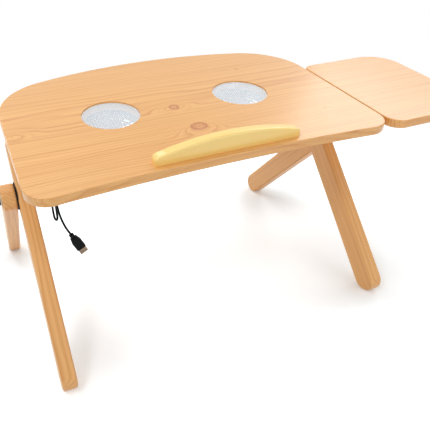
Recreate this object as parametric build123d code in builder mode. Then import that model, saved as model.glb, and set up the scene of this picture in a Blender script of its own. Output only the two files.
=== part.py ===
from build123d import *

import os
from math import cos, pi, radians, sin, tan

# Laptop table: a tilted desk board on two pairs of folding wooden legs, in millimetres.
# The origin is the middle of the desk's top face, +X runs to the right, +Z is up.

# Desk board
desk_width = 600.0
desk_depth = 400.0
desk_thickness = 15.0
desk_tilt = 9.0
front_corner_radius = 36.0
rear_corner_radius = 121.0
rear_bow_radius = 800.0
front_hollow = 10.0
board_edge_round = 2.0

# Fan openings and their mesh
fan_spacing = 246.0
fan_behind_middle = -3.5
opening_radius = 50.0
ledge_width = 3.5
mesh_recess = 2.6
mesh_thickness = 0.8
mesh_clearance = 0.3

# Fans under the board
fan_size = 110.0
fan_depth = 15.0
fan_corner_radius = 9.0
fan_wall_to_rotor = 2.6
fan_bore_radius = 49.0
fan_screw_pitch = 92.0
motor_radius = 17.0
strut_width = 4.0
strut_thickness = 2.5
strut_count = 4
rotor_gap = 2.0
hub_radius = 18.0
hub_wall = 1.6
blade_count = 7
blade_chord = 20.0
blade_thickness = 1.5
blade_pitch = 32.0
axle_radius = 1.5
axle_clearance = 0.06
guard_thickness = 2.0
guard_ring_width = 1.6
guard_ring_count = 4
guard_spoke_count = 8
guard_spoke_width = 2.0
guard_ear_width = 6.0
guard_middle_radius = 8.5
gland_radius = 3.2
gland_tip_radius = 2.3
gland_in_wall = 3.0
gland_length = 9.0
gland_clearance = 0.05

# Laptop stopper
stopper_length = 244.0
stopper_thickness = 18.0
stopper_middle_height = 28.0
stopper_end_height = 11.5
stopper_corner_radius = 7.5
stopper_round = 3.8
stopper_offset = 9.5
stopper_setback = 21.0
stopper_screw_pitch = 150.0

# Side leaf
leaf_width = 195.0
leaf_depth = 257.0
leaf_gap = 1.5
leaf_front_radius = 28.0
leaf_rear_radius = 18.0
leaf_outer_radius = 55.0
rod_radius = 4.0
rod_in_desk = 74.0
rod_in_leaf = 60.0
rod_clearance = 0.08
rod_front_setback = 48.0
rod_to_bracket = 10.0
rod_end_room = 3.0
rod_chamfer = 0.5
collar_radius = 6.0

# Legs
leg_thickness = 24.0
leg_width = 45.0
leg_edge_round = 4.0
front_leg_length = 366.0
front_leg_lean = 39.0
rear_leg_lean = 47.5
brace_distance = 72.0
pivot_behind_middle = 15.0
pivot_drop = 50.0

# Toothed discs, bolts and knobs at the leg pivots
disc_radius = 23.0
disc_thickness = 2.8
disc_recess = 2.0
disc_gap = 0.2
tooth_count = 24
tooth_depth = 0.6
tooth_gap = 2.4
tooth_inner_radius = 11.0
bolt_radius = 3.0
bolt_clearance = 0.08
bolt_head_radius = 8.0
bolt_head_height = 4.0
bolt_crown = 2.8
bolt_head_room = 0.5
washer_radius = 9.0
washer_thickness = 1.5
knob_hub_radius = 10.0
knob_hub_length = 6.0
knob_grip_radius = 18.0
knob_grip_length = 14.0
knob_lobes = 6
knob_scallop_radius = 7.0
knob_scallop_out = 3.5
knob_round = 1.5
thread_length = 12.0
thread_room = 1.0

# Steel brackets between the desk and the front legs
bracket_thickness = 3.0
bracket_width = 46.0
bracket_foot = 34.0
bracket_screw_pitch = 30.0

# Countersunk wood screws
screw_radius = 2.0
screw_head_radius = 3.8
screw_head_height = 2.2
screw_in_wood = 9.0
screw_clearance = 0.05
pan_head_height = 2.2
pan_crown = 1.1

# Power cord, its hank, tie and hook
cord_radius = 1.6
hank_pitch = 3.8
hank_turns = 3
hank_run = 56.0
hank_height = 25.0
hank_waist = 1.5
hank_first = -238.0
hank_middle = -85.0
hank_drop = 4.2
tie_wall = 1.0
tie_width = 3.5
tie_clearance = 0.7
tie_lock = 5.0
mount_length = 29.0
mount_width = 12.0
mount_corner = 2.0
mount_screw_offset = 16.5
hook_left = -250.5
hook_row = -164.4
hook_drop = 13.1
hook_bar_radius = 4.5
hook_bar_length = 13.5
hook_lip = 2.0
hook_lip_radius = 6.0
hook_arm_thickness = 3.0
hook_arm_width = 10.0
hook_base_length = 18.0
hook_base_width = 12.0
hook_base_thickness = 2.5
hook_base_corner = 2.0
hook_screw_offset = 12.0
plug_grip_length = 23.0
plug_grip_width = 14.5
plug_grip_depth = 8.0
plug_neck_length = 6.5
plug_neck_radius = 2.8
plug_collar_length = 4.2
plug_collar_radius = 3.6
plug_shoulder = 8.0
plug_throat_width = 10.5
plug_throat_depth = 7.0
plug_round = 2.5
plug_end_round = 1.5
shell_length = 8.0
shell_hole_width = 2.2
shell_hole_length = 2.4
shell_hole_pitch = 6.0
shell_hole_from_tip = 3.6
shell_width = 12.0
shell_depth = 4.5
shell_wall = 0.5
tongue_thickness = 1.8

# Places worked out from the sizes above
desk_normal = (0, -sin(radians(desk_tilt)), cos(radians(desk_tilt)))
desk = Plane(origin=(0, 0, 0), x_dir=(1, 0, 0), z_dir=desk_normal)
desk_up = Axis((0, 0, 0), desk.z_dir)
half_width = desk_width / 2
front_line = -desk_depth / 2
back_line = desk_depth / 2
underside = -desk_thickness
fan_x = fan_spacing / 2
through_radius = opening_radius - ledge_width
rotor_tip = fan_bore_radius - fan_wall_to_rotor
leg_inner_face = half_width - leg_thickness
spigot_radius = disc_radius - leg_edge_round
disc_stack = 2 * (disc_thickness - disc_recess) + disc_gap
rear_leg_face = half_width + disc_stack
bracket_face = leg_inner_face + disc_recess - 2 * disc_thickness - disc_gap
leaf_left = half_width + leaf_gap
rod_middle = -desk_thickness / 2

os.makedirs("parts", exist_ok=True)


def in_desk(u, v, h):
    """a point given across, along and above the tilted desk"""
    return desk.from_local_coords(Vector(u, v, h))


def on_desk(u, v, h):
    """a plane lying parallel to the desk's top at that point"""
    return Plane(origin=in_desk(u, v, h), x_dir=desk.x_dir, z_dir=desk.z_dir)


def side_plane(x, facing=1):
    """an upright plane across X: its own x is Y for facing 1"""
    return Plane(origin=(x, 0, 0), x_dir=(0, facing, 0), z_dir=(facing, 0, 0))


def desk_side_plane(x):
    """like side_plane, but turned with the desk"""
    return Plane(origin=(x, 0, 0), x_dir=desk.y_dir, z_dir=(1, 0, 0))


def save(piece, name):
    piece.part.label = name
    export_step(piece.part, f"parts/{name}.step")


pivot_point = in_desk(0, pivot_behind_middle, -pivot_drop)
pivot = (pivot_point.Y, pivot_point.Z)
front_run = (-sin(radians(front_leg_lean)), -cos(radians(front_leg_lean)))
rear_run = (sin(radians(rear_leg_lean)), -cos(radians(rear_leg_lean)))
brace_pivot = (pivot[0] + brace_distance * front_run[0], pivot[1] + brace_distance * front_run[1])
front_foot = (pivot[0] + front_leg_length * front_run[0], pivot[1] + front_leg_length * front_run[1])
rear_leg_length = (brace_pivot[1] - front_foot[1]) / -rear_run[1]
rear_foot = (brace_pivot[0] + rear_leg_length * rear_run[0], front_foot[1])
floor_height = front_foot[1] - leg_width / 2

sides = {"left": -1, "right": 1}


# Outlines

def desk_outline():
    """straight sides, round front corners, a hollow front edge and one wide bow at the back"""
    bow_reach = rear_bow_radius - rear_corner_radius
    corner_x = half_width - rear_corner_radius
    bow_drop = (bow_reach**2 - corner_x**2) ** 0.5
    bow_centre = back_line - rear_bow_radius
    corner_y = bow_centre + bow_drop
    join_x = corner_x * rear_bow_radius / bow_reach
    join_y = bow_centre + bow_drop * rear_bow_radius / bow_reach
    corner_turn = (corner_x / bow_reach, bow_drop / bow_reach)
    half_turn = ((1 + corner_turn[0]) / 2, corner_turn[1] / 2)
    half_size = (half_turn[0] ** 2 + half_turn[1] ** 2) ** 0.5
    mid_x = corner_x + rear_corner_radius * half_turn[0] / half_size
    mid_y = corner_y + rear_corner_radius * half_turn[1] / half_size
    straight_from = front_line + front_corner_radius
    hollow_from = half_width - front_corner_radius
    slant = front_corner_radius * (1 - 0.5**0.5)
    with BuildLine() as outline:
        Line((half_width, straight_from), (half_width, corner_y))
        ThreePointArc((half_width, corner_y), (mid_x, mid_y), (join_x, join_y))
        ThreePointArc((join_x, join_y), (0, back_line), (-join_x, join_y))
        ThreePointArc((-join_x, join_y), (-mid_x, mid_y), (-half_width, corner_y))
        Line((-half_width, corner_y), (-half_width, straight_from))
        ThreePointArc(
            (-half_width, straight_from),
            (-half_width + slant, front_line + slant),
            (-hollow_from, front_line),
        )
        ThreePointArc((-hollow_from, front_line), (0, front_line + front_hollow), (hollow_from, front_line))
        ThreePointArc(
            (hollow_from, front_line),
            (half_width - slant, front_line + slant),
            (half_width, straight_from),
        )
    return outline


def round_board(board):
    """soften the top and bottom rims of a board lying in the desk's plane"""
    rims = board.faces().sort_by(desk_up)
    fillet(rims[0].edges() + rims[-1].edges(), radius=board_edge_round)


rod_rows = [
    front_line + rod_front_setback,
    pivot_behind_middle - bracket_width / 2 - rod_to_bracket - rod_radius,
]
stopper_screws_at = [stopper_offset - stopper_screw_pitch / 2, stopper_offset + stopper_screw_pitch / 2]
stopper_middle = front_line + stopper_setback + stopper_thickness / 2


# Desk board

def make_desk_board():
    with BuildPart() as desk_board:
        with BuildSketch(on_desk(0, 0, underside)):
            outline = desk_outline()
            add(outline.line)
            make_face()
        extrude(amount=desk_thickness)
        round_board(desk_board)
        with BuildSketch(on_desk(0, fan_behind_middle, 0)):
            with Locations((-fan_x, 0), (fan_x, 0)):
                Circle(through_radius)
        extrude(amount=-desk_thickness, mode=Mode.SUBTRACT)
        with BuildSketch(on_desk(0, fan_behind_middle, 0)):
            with Locations((-fan_x, 0), (fan_x, 0)):
                Circle(opening_radius)
        extrude(amount=-mesh_recess - mesh_thickness, mode=Mode.SUBTRACT)
        with BuildSketch(desk_side_plane(half_width)):
            with Locations(*[(row, rod_middle) for row in rod_rows]):
                Circle(rod_radius + rod_clearance)
        extrude(amount=-rod_in_desk - rod_end_room, mode=Mode.SUBTRACT)
        with BuildSketch(on_desk(0, 0, underside)):
            with Locations(*fan_screw_places()):
                Circle(screw_radius + screw_clearance)
            with Locations(*bracket_screw_places()):
                Circle(screw_radius + screw_clearance)
            with Locations(*cord_screw_places):
                Circle(screw_radius + screw_clearance)
        extrude(amount=screw_in_wood + screw_clearance, mode=Mode.SUBTRACT)
        with BuildSketch(on_desk(0, stopper_middle, underside)):
            with Locations(*[(place, 0) for place in stopper_screws_at]):
                Circle(screw_radius + screw_clearance)
        extrude(amount=desk_thickness, mode=Mode.SUBTRACT)
        with BuildSketch(on_desk(0, stopper_middle, underside)):
            with Locations(*[(place, 0) for place in stopper_screws_at]):
                Circle(screw_head_radius + screw_clearance)
        extrude(amount=screw_head_height, mode=Mode.SUBTRACT)
    save(desk_board, "desk_board")


def fan_screw_places():
    """the eight screws through the corners of the two fans"""
    reach = fan_screw_pitch / 2
    places = []
    for middle in (-fan_x, fan_x):
        for across in (-reach, reach):
            for along in (-reach, reach):
                places.append((middle + across, fan_behind_middle + along))
    return places


bracket_foot_middle = bracket_face - bracket_foot / 2 - bracket_thickness / 2


def bracket_screw_places():
    """two screws in the foot of each bracket, in line along the desk"""
    reach = bracket_screw_pitch / 2
    places = []
    for middle in (-bracket_foot_middle, bracket_foot_middle):
        for along in (-reach, reach):
            places.append((middle, pivot_behind_middle + along))
    return places


# Stopper and its screws

def make_stopper():
    half_length = stopper_length / 2
    face_plane = Plane(
        origin=in_desk(stopper_offset, front_line + stopper_setback, 0),
        x_dir=desk.x_dir,
        z_dir=-desk.y_dir,
    )
    with BuildPart() as stopper:
        with BuildSketch(face_plane) as profile:
            with BuildLine():
                Line((-half_length, 0), (half_length, 0))
                Line((half_length, 0), (half_length, stopper_end_height))
                ThreePointArc(
                    (half_length, stopper_end_height),
                    (0, stopper_middle_height),
                    (-half_length, stopper_end_height),
                )
                Line((-half_length, stopper_end_height), (-half_length, 0))
            make_face()
            top_corners = profile.vertices().group_by(Axis.Y)[-1]
            fillet(top_corners, radius=stopper_corner_radius)
        extrude(amount=-stopper_thickness)
        base = stopper.faces().sort_by(desk_up)[0]
        broad = stopper.faces().filter_by(Axis((0, 0, 0), desk.y_dir))
        base_edges = base.edges()
        rims = [edge for edge in broad.edges() if edge not in base_edges]
        fillet(rims, radius=stopper_round)
        with BuildSketch(on_desk(0, stopper_middle, 0)):
            with Locations(*[(place, 0) for place in stopper_screws_at]):
                Circle(screw_radius + screw_clearance)
        extrude(amount=screw_in_wood + screw_clearance, mode=Mode.SUBTRACT)
    save(stopper, "stopper")


def screw_profile(length):
    """half section of a countersunk screw, head down, tip at the top"""
    Polyline(
        (0, 0),
        (screw_head_radius, 0),
        (screw_radius, screw_head_height),
        (screw_radius, length - screw_radius),
        (0, length),
        (0, 0),
    )


def make_countersunk_screws(name, places, low, length):
    """one screw for each place, head at height low, pointing up into the wood"""
    with BuildPart() as screws:
        for place in places:
            head = in_desk(place[0], place[1], low)
            with BuildSketch(Plane(origin=head, x_dir=desk.x_dir, z_dir=-desk.y_dir)):
                with BuildLine():
                    screw_profile(length)
                make_face()
            revolve(axis=Axis(head, desk.z_dir))
    save(screws, name)


def make_pan_screws(name, places, low, length):
    """pan head screws whose heads lie under the height low"""
    with BuildPart() as screws:
        with BuildSketch(on_desk(0, 0, low)):
            with Locations(*places):
                Circle(screw_radius)
        extrude(amount=length)
        with BuildSketch(on_desk(0, 0, low)):
            with Locations(*places):
                Circle(screw_head_radius)
        extrude(amount=-pan_head_height)
        tips = screws.faces().sort_by(desk_up)[: len(places)]
        fillet(tips.edges(), radius=pan_crown)
    save(screws, name)


# Mesh, fan frame, rotor, axle and guard of each fan

fan_top = underside
fan_bottom = fan_top - fan_depth
fan_middle_height = (fan_top + fan_bottom) / 2
strut_top = fan_bottom + strut_thickness
rotor_top = fan_top - rotor_gap
hub_bottom = strut_top + rotor_gap
guard_bottom = fan_bottom - guard_thickness


def make_mesh(side, across):
    with BuildPart() as mesh:
        with BuildSketch(on_desk(across, fan_behind_middle, -mesh_recess - mesh_thickness)):
            Circle(opening_radius - mesh_clearance)
        extrude(amount=mesh_thickness)
    save(mesh, f"{side}_fan_mesh")


def make_fan_frame(side, across):
    with BuildPart() as frame:
        with BuildSketch(on_desk(across, fan_behind_middle, fan_bottom)):
            RectangleRounded(fan_size, fan_size, fan_corner_radius)
            Circle(fan_bore_radius, mode=Mode.SUBTRACT)
            with GridLocations(fan_screw_pitch, fan_screw_pitch, 2, 2):
                Circle(screw_radius + screw_clearance, mode=Mode.SUBTRACT)
        extrude(amount=fan_depth)
        with BuildSketch(on_desk(across, fan_behind_middle, fan_bottom)):
            Circle(motor_radius)
            with PolarLocations(fan_bore_radius / 2 + strut_width / 4, strut_count, start_angle=45):
                Rectangle(fan_bore_radius + strut_width / 2, strut_width)
            Circle(axle_radius + axle_clearance, mode=Mode.SUBTRACT)
        extrude(amount=strut_thickness)
        if side == "left":
            with BuildSketch(desk_side_plane(across - fan_size / 2)):
                with Locations((fan_behind_middle, fan_middle_height)):
                    Circle(gland_radius + gland_clearance)
            extrude(amount=gland_in_wall, mode=Mode.SUBTRACT)
    save(frame, f"{side}_fan_frame")


def blade_plane(across, turn):
    """square to one blade, whose own x runs along the pitched chord"""
    middle = (rotor_top + hub_bottom) / 2
    spot = Location(tuple(in_desk(across, fan_behind_middle, middle)), (desk_tilt, 0, 0))
    return Plane(spot * Rotation(0, 0, turn) * Rotation(0, 90, 0) * Rotation(0, 0, 90 - blade_pitch))


def make_fan_rotor(side, across):
    inner = hub_radius - hub_wall
    with BuildPart() as rotor:
        with BuildSketch(on_desk(across, fan_behind_middle, hub_bottom)):
            Circle(hub_radius)
        extrude(amount=rotor_top - hub_bottom)
        for blade in range(blade_count):
            root = blade_plane(across, blade * 360 / blade_count).offset(inner)
            with BuildSketch(root):
                Rectangle(blade_chord, blade_thickness)
            extrude(amount=rotor_tip - inner)
        with BuildSketch(on_desk(across, fan_behind_middle, hub_bottom)):
            Circle(axle_radius)
        extrude(amount=rotor_top - hub_bottom - hub_wall, mode=Mode.SUBTRACT)
    save(rotor, f"{side}_fan_rotor")


def make_fan_axle(side, across):
    with BuildPart() as axle:
        with BuildSketch(on_desk(across, fan_behind_middle, fan_bottom)):
            Circle(axle_radius)
        extrude(amount=rotor_top - hub_wall - fan_bottom)
    save(axle, f"{side}_fan_axle")


def make_fan_guard(side, across):
    ring_step = (fan_bore_radius - guard_middle_radius) / guard_ring_count
    with BuildPart() as guard:
        with BuildSketch(on_desk(across, fan_behind_middle, guard_bottom)):
            for ring in range(guard_ring_count):
                outer = fan_bore_radius - ring * ring_step + guard_ring_width / 2
                Circle(outer)
                Circle(outer - guard_ring_width, mode=Mode.SUBTRACT)
            Circle(guard_middle_radius)
            half_step = 180 / guard_spoke_count
            with PolarLocations(fan_bore_radius / 2, guard_spoke_count, start_angle=half_step):
                Rectangle(fan_bore_radius, guard_spoke_width)
            ear_reach = fan_screw_pitch / 2**0.5
            ear_length = ear_reach - fan_bore_radius
            with PolarLocations(fan_bore_radius + ear_length / 2, 4, start_angle=45):
                Rectangle(ear_length, guard_ear_width)
            with PolarLocations(ear_reach, 4, start_angle=45):
                Circle(screw_head_radius)
                Circle(screw_radius + screw_clearance, mode=Mode.SUBTRACT)
        extrude(amount=guard_thickness)
    save(guard, f"{side}_fan_guard")


# Side leaf, its rods and collars

leaf_back = front_line + leaf_depth


def make_side_leaf():
    corners = {
        (leaf_left, front_line): leaf_front_radius,
        (leaf_left, leaf_back): leaf_rear_radius,
        (leaf_left + leaf_width, front_line): leaf_outer_radius,
        (leaf_left + leaf_width, leaf_back): leaf_outer_radius,
    }
    with BuildPart() as leaf:
        with BuildSketch(on_desk(0, 0, underside)) as outline:
            with Locations((leaf_left + leaf_width / 2, (front_line + leaf_back) / 2)):
                Rectangle(leaf_width, leaf_depth)
            for corner, radius in corners.items():
                fillet(outline.vertices().sort_by_distance((corner[0], corner[1], 0))[0], radius=radius)
        extrude(amount=desk_thickness)
        round_board(leaf)
        with BuildSketch(desk_side_plane(leaf_left)):
            with Locations(*[(row, rod_middle) for row in rod_rows]):
                Circle(rod_radius)
        extrude(amount=rod_in_leaf, mode=Mode.SUBTRACT)
    save(leaf, "side_leaf")


def make_leaf_rods():
    with BuildPart() as rods:
        with BuildSketch(desk_side_plane(half_width - rod_in_desk)):
            with Locations(*[(row, rod_middle) for row in rod_rows]):
                Circle(rod_radius)
        extrude(amount=rod_in_desk + leaf_gap + rod_in_leaf)
        ends = rods.faces().filter_by(Axis.X).edges()
        chamfer(ends, length=rod_chamfer)
    save(rods, "leaf_rods")


def make_leaf_collars():
    with BuildPart() as collars:
        with BuildSketch(desk_side_plane(half_width)):
            with Locations(*[(row, rod_middle) for row in rod_rows]):
                Circle(collar_radius)
                Circle(rod_radius, mode=Mode.SUBTRACT)
        extrude(amount=leaf_gap)
    save(collars, "leaf_collars")


# Legs

def make_leg(name, way, inner_face, top, foot, recesses):
    """a round-ended bar from top to foot; recesses lists (face, centre, radius, depth)"""
    rise = Vector(foot[0] - top[0], foot[1] - top[1], 0)
    turn = Vector(1, 0, 0).get_signed_angle(rise, Vector(0, 0, 1))
    middle = ((top[0] + foot[0]) / 2, (top[1] + foot[1]) / 2)
    with BuildPart() as leg:
        with BuildSketch(side_plane(way * inner_face)):
            with Locations(middle):
                SlotCenterToCenter(rise.length, leg_width, rotation=turn)
        extrude(amount=way * leg_thickness)
        fillet(leg.faces().filter_by(Axis.X).edges(), radius=leg_edge_round)
        for face, centre, radius, depth in recesses:
            recess_face = inner_face if face == "inner" else inner_face + leg_thickness
            inward = 1 if face == "inner" else -1
            with BuildSketch(side_plane(way * recess_face)):
                with Locations(centre):
                    Circle(radius)
            extrude(amount=way * inward * depth, mode=Mode.SUBTRACT)
        for centre in {centre for _, centre, _, _ in recesses}:
            with BuildSketch(side_plane(way * inner_face)):
                with Locations(centre):
                    Circle(bolt_radius + bolt_clearance)
            extrude(amount=way * leg_thickness, mode=Mode.SUBTRACT)
    save(leg, name)


# Toothed discs

def make_disc(name, way, back, facing, centre):
    """a disc whose plain back lies at back and whose toothed face points along way times facing"""
    seat = disc_recess if "bracket" not in name else 0.0
    with BuildPart() as disc:
        with BuildSketch(side_plane(way * back)):
            with Locations(centre):
                Circle(spigot_radius)
        extrude(amount=way * facing * disc_thickness)
        with BuildSketch(side_plane(way * (back + facing * seat))):
            with Locations(centre):
                Circle(disc_radius)
        extrude(amount=way * facing * (disc_thickness - seat))
        tooth_length = disc_radius - tooth_inner_radius
        with BuildSketch(side_plane(way * (back + facing * disc_thickness))):
            with Locations(centre):
                with PolarLocations(tooth_inner_radius + tooth_length / 2, tooth_count):
                    Rectangle(tooth_length + tooth_gap, tooth_gap)
        extrude(amount=-way * facing * tooth_depth, mode=Mode.SUBTRACT)
        with BuildSketch(side_plane(way * back)):
            with Locations(centre):
                Circle(bolt_radius + bolt_clearance)
        extrude(amount=way * facing * disc_thickness, mode=Mode.SUBTRACT)
    save(disc, name)


# Bolts, washers and knobs

def make_bolt(name, way, head_face, toward, centre, length):
    """a domed head seated on head_face and a shank running from it along way times toward"""
    with BuildPart() as bolt:
        with BuildSketch(side_plane(way * head_face)):
            with Locations(centre):
                Circle(bolt_radius)
        extrude(amount=way * toward * length)
        with BuildSketch(side_plane(way * head_face)):
            with Locations(centre):
                Circle(bolt_head_radius)
        extrude(amount=-way * toward * bolt_head_height)
        across = bolt.faces().filter_by(Axis.X).sort_by(Axis.X)
        crown = across[0] if way * toward > 0 else across[-1]
        fillet(crown.edges(), radius=bolt_crown)
    save(bolt, name)


def make_washer(name, way, seat, toward, centre):
    with BuildPart() as washer:
        with BuildSketch(side_plane(way * seat)):
            with Locations(centre):
                Circle(washer_radius)
                Circle(bolt_radius + bolt_clearance, mode=Mode.SUBTRACT)
        extrude(amount=way * toward * washer_thickness)
    save(washer, name)


def make_knob(name, way, seat, toward, centre):
    """a hub against the washer and a lobed grip beyond it"""
    with BuildPart() as knob:
        with BuildSketch(side_plane(way * (seat + toward * knob_hub_length))):
            with Locations(centre):
                Circle(knob_grip_radius)
                with PolarLocations(knob_grip_radius + knob_scallop_out, knob_lobes):
                    Circle(knob_scallop_radius, mode=Mode.SUBTRACT)
        extrude(amount=way * toward * knob_grip_length)
        fillet(knob.faces().filter_by(Axis.X).edges(), radius=knob_round)
        with BuildSketch(side_plane(way * seat)):
            with Locations(centre):
                Circle(knob_hub_radius)
        extrude(amount=way * toward * (knob_hub_length + knob_grip_length / 2))
        with BuildSketch(side_plane(way * seat)):
            with Locations(centre):
                Circle(bolt_radius + bolt_clearance)
        extrude(amount=way * toward * thread_length, mode=Mode.SUBTRACT)
    save(knob, name)


# Leg brackets

def make_bracket(name, way):
    """an angle of steel plate: a foot under the desk and an ear down to the pivot"""
    ear_inner = bracket_face - bracket_thickness
    half = bracket_width / 2
    with BuildPart() as bracket:
        with BuildSketch(desk_side_plane(way * ear_inner)):
            with Locations((pivot_behind_middle, (underside - pivot_drop) / 2)):
                Rectangle(bracket_width, pivot_drop + underside)
            with Locations((pivot_behind_middle, -pivot_drop)):
                Circle(half)
                Circle(bolt_radius + bolt_clearance, mode=Mode.SUBTRACT)
        extrude(amount=way * bracket_thickness)
        with BuildSketch(on_desk(0, pivot_behind_middle, underside)):
            with Locations((way * (bracket_face - bracket_foot / 2), 0)):
                Rectangle(bracket_foot, bracket_width)
        extrude(amount=-bracket_thickness)
        with BuildSketch(on_desk(0, pivot_behind_middle, underside)):
            with Locations((way * bracket_foot_middle, 0)):
                with GridLocations(0, bracket_screw_pitch, 1, 2):
                    Circle(screw_radius + screw_clearance)
        extrude(amount=-bracket_thickness, mode=Mode.SUBTRACT)
    save(bracket, name)


# Power cord, its gland, tie, hook and plug

fan_side_x = -fan_x - fan_size / 2
hank_top = underside - hank_drop
hank_bottom = hank_top - hank_height
hank_back = hank_middle + hank_run / 2
hank_front = hank_middle - hank_run / 2
hank_last = hank_first - hank_turns * hank_pitch
waist_slope = 2 * hank_waist / hank_run
mount_middle = (hank_first + hank_last) / 2 + mount_screw_offset / 2
cord_screw_places = [
    (hook_left + hook_screw_offset, hook_row),
    (mount_middle + mount_screw_offset / 2, hank_middle),
]


def hank_route():
    """loops standing side by side under the desk, drawn in at the waist, each lower run a step on"""
    points = []
    for turn in range(hank_turns):
        here = hank_first - turn * hank_pitch
        step = here - hank_pitch
        points += [
            in_desk(here, hank_back, hank_top),
            in_desk(here, hank_middle, hank_top - hank_waist),
            in_desk(here, hank_front, hank_top),
            in_desk(here, hank_front, hank_bottom),
            in_desk((here + step) / 2, hank_middle, hank_bottom + hank_waist),
            in_desk(step, hank_back, hank_bottom),
        ]
    points += [
        in_desk(hank_last, hank_back, hank_top),
        in_desk(hank_last, hank_middle, hank_top - hank_waist),
        in_desk(hank_last, hank_front, hank_top),
    ]
    return points


# The lead from the left fan to the hank, and the tail from the hank to the plug
gland_tip = in_desk(fan_side_x - gland_length + gland_in_wall, fan_behind_middle, fan_middle_height)
lead_route = [
    gland_tip,
    in_desk(-196.0, fan_behind_middle, fan_middle_height),
    in_desk(-210.0, -2.0, -26.0),
    in_desk(-224.5, -6.0, -30.0),
    in_desk(-235.0, -16.5, -30.5),
    in_desk(-238.2, -30.5, -26.5),
    in_desk(hank_first, hank_back + 13.5, hank_top + 13.5 * waist_slope),
    in_desk(hank_first, hank_back, hank_top),
]
tail_route = [
    in_desk(hank_last, hank_front, hank_top),
    in_desk(hank_last, hank_front - 10.5, hank_top + 10.5 * waist_slope),
    Vector(-252.8, -128.5, -42.0),
    Vector(-256.6, -136.6, -49.8),
    Vector(-259.6, -142.2, -59.5),
    Vector(-261.0, -144.6, -70.0),
    Vector(-261.1, -145.4, -81.0),
    Vector(-260.7, -145.6, -92.0),
    Vector(-257.4, -151.9, -92.0),
    Vector(-256.9, -151.4, -77.5),
    Vector(-256.8, -151.1, -62.5),
    Vector(-257.1, -150.8, -47.0),
    Vector(-257.3, -165.2, -47.0),
    Vector(-256.8, -164.4, -62.0),
    Vector(-255.8, -164.1, -73.5),
    Vector(-254.0, -164.0, -83.5),
    Vector(-251.4, -164.0, -93.8),
    Vector(-247.9, -164.0, -103.6),
    Vector(-243.6, -164.0, -112.6),
]


def corner_radii(points):
    """each arc as large as its two runs allow"""
    radii = []
    for before, here, after in zip(points, points[1:], points[2:]):
        shorter = min((here - before).length, (after - here).length)
        turn = (here - before).get_angle(after - here)
        radii.append(0.45 * shorter / tan(radians(turn / 2)))
    return radii


def make_cord(name, points):
    """a round tube along straight runs joined by arcs"""
    radii = corner_radii(points)
    with BuildPart() as cord:
        with BuildLine() as route:
            FilletPolyline(*points, radius=radii)
        with BuildSketch(Plane(origin=points[0], z_dir=points[1] - points[0])):
            Circle(cord_radius)
        sweep()
    path = route.wires()[0]
    share = cord.part.volume / (pi * cord_radius**2 * path.length)
    runs = [(after - before).length for before, after in zip(points, points[1:])]
    print(name, "length", round(path.length, 1), "volume over section times length", round(share, 4))
    print("  radii", [round(radius, 1) for radius in radii])
    print("  runs", [round(run, 1) for run in runs])
    save(cord, name)
    return path


def least_gap(path):
    """the closest that a tube comes to itself, between points a millimetre apart on its line"""
    count = int(path.length)
    points = [path.position_at(number / count) for number in range(count + 1)]
    apart = int(2 * pi * cord_radius)
    least = path.length
    for number, point in enumerate(points):
        for other in points[number + apart :]:
            least = min(least, (other - point).length)
    return least - 2 * cord_radius


def make_cord_gland():
    """a tapered sleeve let into the left fan's wall"""
    with BuildPart() as gland:
        with BuildSketch(desk_side_plane(fan_side_x + gland_in_wall)):
            with Locations((fan_behind_middle, fan_middle_height)):
                Circle(gland_radius)
        extrude(amount=-gland_in_wall)
        with BuildSketch(desk_side_plane(fan_side_x)):
            with Locations((fan_behind_middle, fan_middle_height)):
                Circle(gland_radius)
        with BuildSketch(desk_side_plane(fan_side_x + gland_in_wall - gland_length)):
            with Locations((fan_behind_middle, fan_middle_height)):
                Circle(gland_tip_radius)
        loft()
    save(gland, "cord_gland")


tie_top = hank_top - hank_waist + cord_radius + tie_clearance
tie_bottom = hank_bottom + hank_waist - cord_radius - tie_clearance
tie_middle = (hank_first + hank_last) / 2
tie_across = hank_first - hank_last + 2 * cord_radius + 2 * tie_clearance


def make_hank_tie():
    """a band round the waist of the hank, with its lock below"""
    tie_tall = tie_top - tie_bottom
    face = Plane(
        origin=in_desk(tie_middle, hank_middle + tie_width / 2, (tie_top + tie_bottom) / 2),
        x_dir=desk.x_dir,
        z_dir=-desk.y_dir,
    )
    with BuildPart() as tie:
        with BuildSketch(face):
            RectangleRounded(tie_across + 2 * tie_wall, tie_tall + 2 * tie_wall, cord_radius + tie_wall)
            RectangleRounded(tie_across, tie_tall, cord_radius, mode=Mode.SUBTRACT)
        extrude(amount=tie_width)
        with BuildSketch(on_desk(tie_middle, hank_middle, tie_bottom - tie_wall)):
            Rectangle(tie_lock, tie_lock)
        extrude(amount=-tie_lock / 2)
    save(tie, "hank_tie")


def make_tie_mount():
    """a flat plate between the tie and the desk, screwed down beside the hank"""
    with BuildPart() as mount:
        with BuildSketch(on_desk(mount_middle, hank_middle, underside)):
            RectangleRounded(mount_length, mount_width, mount_corner)
            with Locations((mount_screw_offset / 2, 0)):
                Circle(screw_radius + screw_clearance, mode=Mode.SUBTRACT)
        extrude(amount=tie_top + tie_wall - underside)
    save(mount, "tie_mount")


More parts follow.
